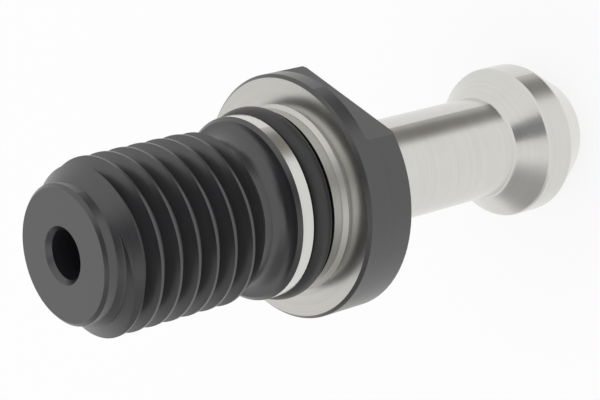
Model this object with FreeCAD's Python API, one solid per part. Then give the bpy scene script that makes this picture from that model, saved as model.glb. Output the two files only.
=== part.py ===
"""Pull stud (retention knob) for a 40-taper tool holder.

Frame: millimetres, +Z along the stud's axis towards the threaded end, origin at the
centre of the flange's ground seat face. The stud stands on the flat end of its head.
+X is square to the first of the two wrench flats.

Two pieces: the turned steel stud and the rubber O-ring in its pilot groove.
"""
import FreeCAD, Part
import math
import os

V = FreeCAD.Vector

# ---- lengths along the axis, from the seat face -------------------------------------
thread_end_z = 25.0          # seat face to the threaded end
grip_length = 28.0           # seat face to the rim of the gripping cone
head_length = 35.0           # seat face to the head's flat end
flange_thickness = 5.3
lip_thickness = 1.75         # full round lip left in front of the wrench flats

# ---- thread -------------------------------------------------------------------------
thread_size = 16.0           # M16, right-hand
thread_pitch = 2.0
thread_allowance = 0.16      # crest diameter below nominal
thread_start_z = 9.3         # first full crest diameter beyond the relief
thread_clock_deg = 14.0      # where the groove starts, round from the first wrench flat

# ---- threaded end -------------------------------------------------------------------
dog_diameter = 12.5          # plain point beyond the thread
dog_length = 1.15
dog_edge = 0.3               # chamfer round the end face

# ---- thread relief and its shoulder -------------------------------------------------
relief_diameter = 13.0
shoulder_radius = 1.5        # concave corner from the relief up to the pilot
shoulder_edge = 0.35

# ---- pilot, O-ring groove and corner relief -----------------------------------------
pilot_diameter = 17.0
front_land_length = 1.2
ring_groove_width = 2.5
ring_groove_diameter = 13.6
rear_land_length = 0.85
corner_relief_width = 0.65   # undercut beside the seat face
corner_relief_depth = 0.12
corner_relief_rise = 0.37    # 45 degree side up to the seat face

# ---- O-ring -------------------------------------------------------------------------
ring_section = 2.25
ring_squeeze = 0.05          # how far it is pressed flat on the groove floor

# ---- flange -------------------------------------------------------------------------
flange_diameter = 23.0
flange_front_edge = 0.3
flange_back_edge = 0.2
across_flats = 19.0

# ---- neck and head ------------------------------------------------------------------
neck_diameter = 10.0
neck_root_radius = 1.0       # where the neck meets the flange
head_diameter = 15.0
grip_angle_deg = 45.0        # gripping cone, from the axis
grip_root_radius = 0.6
head_land_length = 3.0       # cylindrical rim of the head
head_taper_deg = 30.0        # taper to the flat end, from the axis
head_edge = 0.12             # small break on the head's rims

# ---- coolant bore -------------------------------------------------------------------
bore_diameter = 4.5
bore_mouth_diameter = 5.2
bore_mouth_depth = 0.5

# ---- values worked out from the sizes above -----------------------------------------
thread_radius = (thread_size - thread_allowance) / 2
groove_depth = 0.6134 * thread_pitch
rear_land_end_z = corner_relief_width + rear_land_length
front_land_start_z = rear_land_end_z + ring_groove_width
front_land_end_z = front_land_start_z + front_land_length
shoulder_z = front_land_end_z + shoulder_edge
grip_slope = math.tan(math.radians(grip_angle_deg))
grip_cone_length = (head_diameter - neck_diameter) / 2 / grip_slope
head_land_end_z = -grip_length - head_land_length
head_taper_length = head_length - grip_length - head_land_length
taper_slope = math.tan(math.radians(head_taper_deg))
head_end_radius = head_diameter / 2 - head_taper_length * taper_slope


def corner_cut(before, corner, after, radius):
    """The tangent points and middle of an arc that rounds one corner of an outline."""
    to_before = (before - corner).normalize()
    to_after = (after - corner).normalize()
    half_angle = to_before.getAngle(to_after) / 2
    reach = radius / math.tan(half_angle)
    bisector = (to_before + to_after).normalize()
    centre = corner + bisector * (radius / math.sin(half_angle))
    return corner + to_before * reach, centre - bisector * radius, corner + to_after * reach


def lathe_outline(corners):
    """A closed outline in the XZ plane from (radius, z, corner radius) points."""
    points = [V(r, 0, z) for r, z, _ in corners]
    count = len(points)
    edges = []
    starts = []
    for i, (_, _, rounding) in enumerate(corners):
        corner = points[i]
        if rounding:
            first, middle, last = corner_cut(points[i - 1], corner, points[(i + 1) % count], rounding)
            starts.append((first, last, Part.Arc(first, middle, last).toShape()))
        else:
            starts.append((corner, corner, None))
    for i in range(count):
        arrive, leave, arc = starts[i]
        if arc:
            edges.append(arc)
        edges.append(Part.makeLine(leave, starts[(i + 1) % count][0]))
    return Part.Wire(edges)


def revolve(wire):
    return Part.Face(wire).revolve(V(0, 0, 0), V(0, 0, 1), 360)


def turned_blank():
    """The stud as it leaves the lathe, before the thread and the wrench flats."""
    pilot_r = pilot_diameter / 2
    relief_r = relief_diameter / 2
    flange_r = flange_diameter / 2
    neck_r = neck_diameter / 2
    head_r = head_diameter / 2
    dog_r = dog_diameter / 2
    bore_r = bore_diameter / 2
    mouth_r = bore_mouth_diameter / 2
    undercut_r = pilot_r - corner_relief_depth
    groove_r = ring_groove_diameter / 2
    lead_z = thread_end_z - dog_length
    corners = [
        (mouth_r, -head_length, 0),
        (head_end_radius - head_edge, -head_length, 0),
        (head_end_radius + head_edge * taper_slope, -head_length + head_edge, 0),
        (head_r - head_edge * taper_slope, head_land_end_z - head_edge, 0),
        (head_r, head_land_end_z + head_edge, 0),
        (head_r, -grip_length - head_edge, 0),
        (head_r - head_edge * grip_slope, -grip_length + head_edge, 0),
        (neck_r, -grip_length + grip_cone_length, grip_root_radius),
        (neck_r, -flange_thickness, neck_root_radius),
        (flange_r - flange_back_edge, -flange_thickness, 0),
        (flange_r, -flange_thickness + flange_back_edge, 0),
        (flange_r, -flange_front_edge, 0),
        (flange_r - flange_front_edge, 0, 0),
        (undercut_r + corner_relief_rise, 0, 0),
        (undercut_r, corner_relief_rise, 0),
        (undercut_r, corner_relief_width - corner_relief_depth, 0),
        (pilot_r, corner_relief_width, 0),
        (pilot_r, rear_land_end_z, 0),
        (groove_r, rear_land_end_z, 0),
        (groove_r, front_land_start_z, 0),
        (pilot_r, front_land_start_z, 0),
        (pilot_r, front_land_end_z, 0),
        (pilot_r - shoulder_edge, shoulder_z, 0),
        (relief_r, shoulder_z, shoulder_radius),
        (relief_r, thread_start_z - (thread_radius - relief_r), 0),
        (thread_radius, thread_start_z, 0),
        (thread_radius, lead_z - (thread_radius - dog_r), 0),
        (dog_r, lead_z, 0),
        (dog_r, thread_end_z - dog_edge, 0),
        (dog_r - dog_edge, thread_end_z, 0),
        (mouth_r, thread_end_z, 0),
        (bore_r, thread_end_z - bore_mouth_depth, 0),
        (bore_r, -head_length + bore_mouth_depth, 0),
    ]
    return revolve(lathe_outline(corners))


def groove_turn():
    """One turn of the 60 degree groove, with its flat root, swept up a helix."""
    overshoot = thread_pitch / 20                     # the cutter stands proud of the crests
    root_r = thread_radius - groove_depth
    outer_r = thread_radius + overshoot
    flank = math.tan(math.radians(30))
    crest_half = thread_pitch * 7 / 16                # half the groove's width at the crests
    root_half = crest_half - groove_depth * flank
    outer_half = crest_half + overshoot * flank
    section = Part.makePolygon([
        V(root_r, 0, -root_half),
        V(outer_r, 0, -outer_half),
        V(outer_r, 0, outer_half),
        V(root_r, 0, root_half),
        V(root_r, 0, -root_half),
    ])
    helix = Part.makeHelix(thread_pitch, thread_pitch, thread_radius)
    return Part.Wire(helix).makePipeShell([section], True, True)


def cut_thread(blank):
    """Cuts the groove turn by turn, from the relief to past the plain point."""
    start_z = thread_start_z - (thread_radius - relief_diameter / 2)
    turns = math.ceil((thread_end_z - start_z) / thread_pitch)
    threaded = blank
    for turn in range(turns):
        groove = groove_turn()
        groove.translate(V(0, 0, start_z + turn * thread_pitch))
        groove.rotate(V(0, 0, 0), V(0, 0, 1), thread_clock_deg)
        threaded = threaded.cut(groove)
    return threaded


def flat_cutter(side):
    """Takes one wrench flat off the flange, behind the lip. side is +1 or -1."""
    spare = flange_diameter
    width = flange_diameter + spare
    box = Part.makeBox(spare, width, flange_thickness - lip_thickness + spare)
    box.translate(V(across_flats / 2, -width / 2, -flange_thickness - spare))
    if side < 0:
        box.rotate(V(0, 0, 0), V(0, 0, 1), 180)
    return box


def stud_body():
    blank = turned_blank()
    blank = blank.cut(flat_cutter(1)).cut(flat_cutter(-1))
    return cut_thread(blank)


def o_ring():
    """The ring in the middle of its groove: round outside, pressed flat on the floor.

    The inner half lies out of sight in the groove and is drawn in straight flats.
    """
    floor_r = ring_groove_diameter / 2
    half = ring_section / 2
    centre_r = floor_r - ring_squeeze + half
    centre_z = (rear_land_end_z + front_land_start_z) / 2
    diagonal = half * math.sqrt(0.5)
    flat_half = math.sqrt(half ** 2 - (half - ring_squeeze) ** 2)
    top = V(centre_r, 0, centre_z + half)
    bottom = V(centre_r, 0, centre_z - half)
    outermost = V(centre_r + half, 0, centre_z)
    inner = Part.makePolygon([
        top,
        V(centre_r - diagonal, 0, centre_z + diagonal),
        V(floor_r, 0, centre_z + flat_half),
        V(floor_r, 0, centre_z - flat_half),
        V(centre_r - diagonal, 0, centre_z - diagonal),
        bottom,
    ])
    outer = Part.Arc(bottom, outermost, top).toShape()
    return revolve(Part.Wire(inner.Edges + [outer]))


def write(name, shape):
    solids = shape.Solids
    solid = solids[0] if len(solids) == 1 else Part.makeCompound(solids)
    solid.exportStep("parts/%s.step" % name)
    print(name, "solids", len(solids), "valid", shape.isValid(), "volume", round(shape.Volume, 2))


os.makedirs("parts", exist_ok=True)
write("stud_body", stud_body())
write("o_ring", o_ring())
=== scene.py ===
"""Studio picture of the pull stud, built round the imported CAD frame.

Units are metres in the frame's axes: +Z along the stud towards its threaded end, origin at
the centre of the flange's seat face, +X square to the first wrench flat.
"""

import math

import bpy
from mathutils import Matrix, Vector


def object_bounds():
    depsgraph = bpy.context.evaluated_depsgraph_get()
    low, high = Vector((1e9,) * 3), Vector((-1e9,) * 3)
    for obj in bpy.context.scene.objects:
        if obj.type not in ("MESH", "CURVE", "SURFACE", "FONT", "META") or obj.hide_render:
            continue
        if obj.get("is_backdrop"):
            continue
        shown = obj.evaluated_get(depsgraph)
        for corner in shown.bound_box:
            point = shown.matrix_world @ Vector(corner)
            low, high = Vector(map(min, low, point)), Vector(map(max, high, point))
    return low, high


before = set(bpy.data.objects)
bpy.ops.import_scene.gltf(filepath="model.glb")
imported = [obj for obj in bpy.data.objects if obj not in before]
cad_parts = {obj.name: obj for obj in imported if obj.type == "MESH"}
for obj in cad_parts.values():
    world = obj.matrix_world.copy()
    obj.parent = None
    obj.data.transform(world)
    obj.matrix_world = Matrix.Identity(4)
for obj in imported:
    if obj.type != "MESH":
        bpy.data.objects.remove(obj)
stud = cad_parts["stud_body"]
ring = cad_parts["o_ring"]
low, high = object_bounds()
MM = 0.001

head_z = low.z              # the stud stands on this end

# ---- the picture's view, from the seat's centre -------------------------------------
VIEW_AZIMUTH = -49.7        # degrees round from +X
VIEW_ELEVATION = 38.80      # degrees above the seat plane
VIEW_DISTANCE = 198.8 * MM  # from the seat's centre
AIM = Vector((0.10, -1.00, -1.02)) * MM
ROLL_UP = Vector((0.840, 0.505, -0.198))     # the picture's up direction, in the stud's axes
LENS = 129.4                # millimetres, on the sensor below
SENSOR_WIDTH = 36

# ---- the stud's finishes ------------------------------------------------------------
BLACK, GROUND, FACED = 0, 1, 2      # material slots of the stud
RING_SHARE, CLOUD_SHARE = 0.65, 0.35    # what turning rings and cloudiness add to a colour
CLOUD_SCALE = 260
CLOUD_ROUGHNESS = 0.10      # how far the cloudiness moves the roughness, end to end
RUBBER_GRAIN_SCALE = 900

# ---- helpers for node materials -----------------------------------------------------


class Nodes:
    """A short way to write a node tree."""

    def __init__(self, owner):
        owner.use_nodes = True
        self.tree = owner.node_tree
        self.tree.nodes.clear()

    def add(self, kind, **settings):
        node = self.tree.nodes.new(kind)
        for name, value in settings.items():
            setattr(node, name, value)
        return node

    def link(self, source, target):
        self.tree.links.new(source, target)

    def value(self, operation, a, b=None, c=None):
        """The result of a sum on numbers or sockets."""
        node = self.add("ShaderNodeMath", operation=operation)
        for i, item in enumerate((a, b, c)):
            if item is None:
                continue
            if isinstance(item, (int, float)):
                node.inputs[i].default_value = item
            else:
                self.link(item, node.inputs[i])
        return node.outputs[0]

    def mix(self, factor, a, b):
        """A colour between a and b, each a triple or a socket."""
        node = self.add("ShaderNodeMix", data_type="RGBA")
        sockets = node.inputs[0], node.inputs[6], node.inputs[7]
        for socket, item in zip(sockets, (factor, a, b)):
            if isinstance(item, (int, float)):
                socket.default_value = item
            elif isinstance(item, tuple):
                socket.default_value = (*item, 1)
            else:
                self.link(item, socket)
        return node.outputs[2]


def new_material(name):
    material = bpy.data.materials.new(name)
    return material, Nodes(material)


def turned_marks(n, pitch, drift):
    """Fine rings left by the lathe or grinder: a noise that changes along the radius and
    the axis and hardly at all round the part."""
    coords = n.add("ShaderNodeTexCoord").outputs["Object"]
    split = n.add("ShaderNodeSeparateXYZ")
    n.link(coords, split.inputs[0])
    x, y, z = split.outputs
    squares = n.value("MULTIPLY", x, x), n.value("MULTIPLY", y, y)
    radius = n.value("SQRT", n.value("ADD", *squares))
    join = n.add("ShaderNodeCombineXYZ")
    n.link(n.value("MULTIPLY", radius, 1 / pitch), join.inputs[0])
    n.link(n.value("MULTIPLY", z, 1 / pitch), join.inputs[1])
    n.link(n.value("MULTIPLY", n.value("ARCTAN2", y, x), drift), join.inputs[2])
    noise = n.add("ShaderNodeTexNoise")
    noise.inputs["Scale"].default_value = 1.0
    noise.inputs["Detail"].default_value = 2.0
    n.link(join.outputs[0], noise.inputs["Vector"])
    return coords, noise.outputs["Fac"]


def finished_steel(name, dark, light, metallic, roughness, ior, ring_pitch, depth,
                   anisotropy):
    """Steel with turning rings in its colour and surface and a faint cloudiness."""
    material, n = new_material(name)
    coords, rings = turned_marks(n, ring_pitch, 0.15)
    shader = n.add("ShaderNodeBsdfPrincipled")
    out = n.add("ShaderNodeOutputMaterial")
    n.link(shader.outputs[0], out.inputs[0])
    cloud = n.add("ShaderNodeTexNoise")
    cloud.inputs["Scale"].default_value = CLOUD_SCALE
    cloud.inputs["Detail"].default_value = 3
    n.link(coords, cloud.inputs["Vector"])
    cloudiness = cloud.outputs["Fac"]
    amount = n.value("ADD", n.value("MULTIPLY", rings, RING_SHARE),
                     n.value("MULTIPLY", cloudiness, CLOUD_SHARE))
    n.link(n.mix(amount, dark, light), shader.inputs["Base Color"])
    spread = n.value("MULTIPLY_ADD", cloudiness, CLOUD_ROUGHNESS,
                     roughness - CLOUD_ROUGHNESS / 2)
    n.link(spread, shader.inputs["Roughness"])
    shader.inputs["Metallic"].default_value = metallic
    shader.inputs["IOR"].default_value = ior
    shader.inputs["Anisotropic"].default_value = anisotropy
    bump = n.add("ShaderNodeBump")
    bump.inputs["Strength"].default_value = 0.5
    bump.inputs["Distance"].default_value = depth
    n.link(rings, bump.inputs["Height"])
    n.link(bump.outputs[0], shader.inputs["Normal"])
    if anisotropy:
        tangent = n.add("ShaderNodeTangent", direction_type="RADIAL", axis="Z")
        n.link(tangent.outputs[0], shader.inputs["Tangent"])
    return material


def rubber_material():
    """Matt black rubber with a fine grain."""
    material, n = new_material("seal_rubber")
    coords = n.add("ShaderNodeTexCoord").outputs["Object"]
    shader = n.add("ShaderNodeBsdfPrincipled")
    out = n.add("ShaderNodeOutputMaterial")
    n.link(shader.outputs[0], out.inputs[0])
    noise = n.add("ShaderNodeTexNoise")
    noise.inputs["Scale"].default_value = RUBBER_GRAIN_SCALE
    n.link(coords, noise.inputs["Vector"])
    colour = n.mix(noise.outputs["Fac"], (0.016, 0.016, 0.017), (0.026, 0.026, 0.027))
    n.link(colour, shader.inputs["Base Color"])
    shader.inputs["Roughness"].default_value = 0.42
    return material


def finish_of(z, r):
    """Which finish a face has, from the height and radius of its middle in millimetres."""
    if abs(z) < 0.01 and r > 8.4:
        return FACED                                # the seat
    if 0.01 < z < 0.66 and r > 8.3:
        return FACED                                # the corner relief beside it
    if 0.66 < z < 5.21 and r > 8.3:
        return GROUND                               # the pilot's two lands
    if z < -5.31 and r > 2.7:
        return GROUND                               # neck and head
    return BLACK


def dress_stud():
    """Three materials on the stud, in the order of their slots, and a slot for each face."""
    mesh = stud.data
    mesh.materials.clear()
    mesh.materials.append(finished_steel(
        "black_oxide", (0.006, 0.006, 0.0075), (0.026, 0.026, 0.030),
        0.0, 0.30, 1.84, 0.20 * MM, 0.012 * MM, 0))
    mesh.materials.append(finished_steel(
        "ground_steel", (0.54, 0.54, 0.525), (0.78, 0.775, 0.75),
        1.0, 0.19, 1.5, 0.06 * MM, 0.0008 * MM, 0.4))
    mesh.materials.append(finished_steel(
        "faced_steel", (0.46, 0.45, 0.43), (0.74, 0.73, 0.70),
        1.0, 0.30, 1.5, 0.09 * MM, 0.002 * MM, 0.7))
    for face in mesh.polygons:
        c = face.center
        face.material_index = finish_of(c.z / MM, math.hypot(c.x, c.y) / MM)


dress_stud()
ring.data.materials.clear()
ring.data.materials.append(rubber_material())

# ---- floor and world ----------------------------------------------------------------


def make_floor():
    """White paper under the head. The camera sees most of it as plain white."""
    bpy.ops.mesh.primitive_plane_add(size=4.0, location=(0, 0, head_z))
    floor = bpy.context.object
    floor.name = "floor"
    material, n = new_material("floor")
    shader = n.add("ShaderNodeBsdfPrincipled")
    out = n.add("ShaderNodeOutputMaterial")
    noise = n.add("ShaderNodeTexNoise")
    noise.inputs["Scale"].default_value = 30
    colour = n.mix(noise.outputs["Fac"], (0.93, 0.93, 0.93), (0.95, 0.95, 0.95))
    n.link(colour, shader.inputs["Base Color"])
    shader.inputs["Roughness"].default_value = 0.9
    paper = n.add("ShaderNodeEmission")
    seen = n.value("MULTIPLY", n.add("ShaderNodeLightPath").outputs["Is Camera Ray"], 0.8)
    blend = n.add("ShaderNodeMixShader")
    n.link(seen, blend.inputs[0])
    n.link(shader.outputs[0], blend.inputs[1])
    n.link(paper.outputs[0], blend.inputs[2])
    n.link(blend.outputs[0], out.inputs[0])
    floor.data.materials.append(material)
    floor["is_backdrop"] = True
    return floor


floor = make_floor()
floor.visible_glossy = False


def make_world():
    """A white world for camera and diffuse rays. For glossy rays only it paints reflections: a
    dark patch overhead, a grey patch above the camera, a shaded grey flank and a grey patch low
    down on the far flank."""
    world = bpy.data.worlds.new("studio")
    bpy.context.scene.world = world
    n = Nodes(world)
    direction = n.add("ShaderNodeTexCoord").outputs["Generated"]
    background = n.add("ShaderNodeBackground")
    out = n.add("ShaderNodeOutputWorld")
    n.link(background.outputs[0], out.inputs[0])

    def patch(azimuth, elevation, inner, outer):
        """1 inside the inner angle round a direction, 0 outside the outer angle."""
        az, el = math.radians(azimuth), math.radians(elevation)
        axis = (math.cos(el) * math.cos(az), math.cos(el) * math.sin(az), math.sin(el))
        dot = n.add("ShaderNodeVectorMath", operation="DOT_PRODUCT")
        n.link(direction, dot.inputs[0])
        dot.inputs[1].default_value = axis
        ramp = n.add("ShaderNodeMapRange", interpolation_type="SMOOTHSTEP")
        n.link(dot.outputs["Value"], ramp.inputs["Value"])
        ramp.inputs["From Min"].default_value = math.cos(math.radians(outer))
        ramp.inputs["From Max"].default_value = math.cos(math.radians(inner))
        return ramp.outputs[0]

    # Painted reflections: dark and grey patches that only glossy rays see; no lamp or object in
    # the scene casts them.
    painted_shaded_flank = patch(VIEW_AZIMUTH - 98, 25, 12, 50)
    painted_dark_reflection_overhead = patch(VIEW_AZIMUTH - 6, 80, 20, 36)
    painted_grey_reflection_above = patch(VIEW_AZIMUTH + 8, 51, 13, 15)
    painted_grey_reflection_low = patch(VIEW_AZIMUTH + 72, -36, 6, 26)
    painted_reflection_tone = n.mix(painted_shaded_flank, (0.96, 0.955, 0.94), (0.45, 0.44, 0.43))
    painted_reflection_tone = n.mix(painted_dark_reflection_overhead, painted_reflection_tone, (0.03, 0.03, 0.033))
    painted_reflection_tone = n.mix(painted_grey_reflection_above, painted_reflection_tone, (0.22, 0.22, 0.23))
    painted_reflection_tone = n.mix(painted_grey_reflection_low, painted_reflection_tone, (0.26, 0.25, 0.225))
    mirror_ray = n.add("ShaderNodeLightPath").outputs["Is Glossy Ray"]
    n.link(n.mix(mirror_ray, (1.0, 1.0, 1.0), painted_reflection_tone), background.inputs[0])
    background.inputs[1].default_value = 1.0


make_world()

# ---- camera -------------------------------------------------------------------------


def make_camera():
    """The picture's camera, which looks at AIM with ROLL_UP upwards."""
    azimuth, elevation = math.radians(VIEW_AZIMUTH), math.radians(VIEW_ELEVATION)
    flat = math.cos(elevation)
    direction = Vector((flat * math.cos(azimuth), flat * math.sin(azimuth), math.sin(elevation)))
    place = direction * VIEW_DISTANCE
    back = (place - AIM).normalized()
    right = ROLL_UP.cross(back).normalized()
    up = back.cross(right)
    data = bpy.data.cameras.new("camera")
    data.lens = LENS
    data.sensor_width = SENSOR_WIDTH
    data.clip_start = 0.01
    data.clip_end = 10
    camera = bpy.data.objects.new("camera", data)
    bpy.context.collection.objects.link(camera)
    turn = Matrix((right, up, back)).transposed().to_4x4()
    camera.matrix_world = Matrix.Translation(place) @ turn
    bpy.context.scene.camera = camera


make_camera()

scene = bpy.context.scene
scene.view_settings.view_transform = "Standard"

low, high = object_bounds()
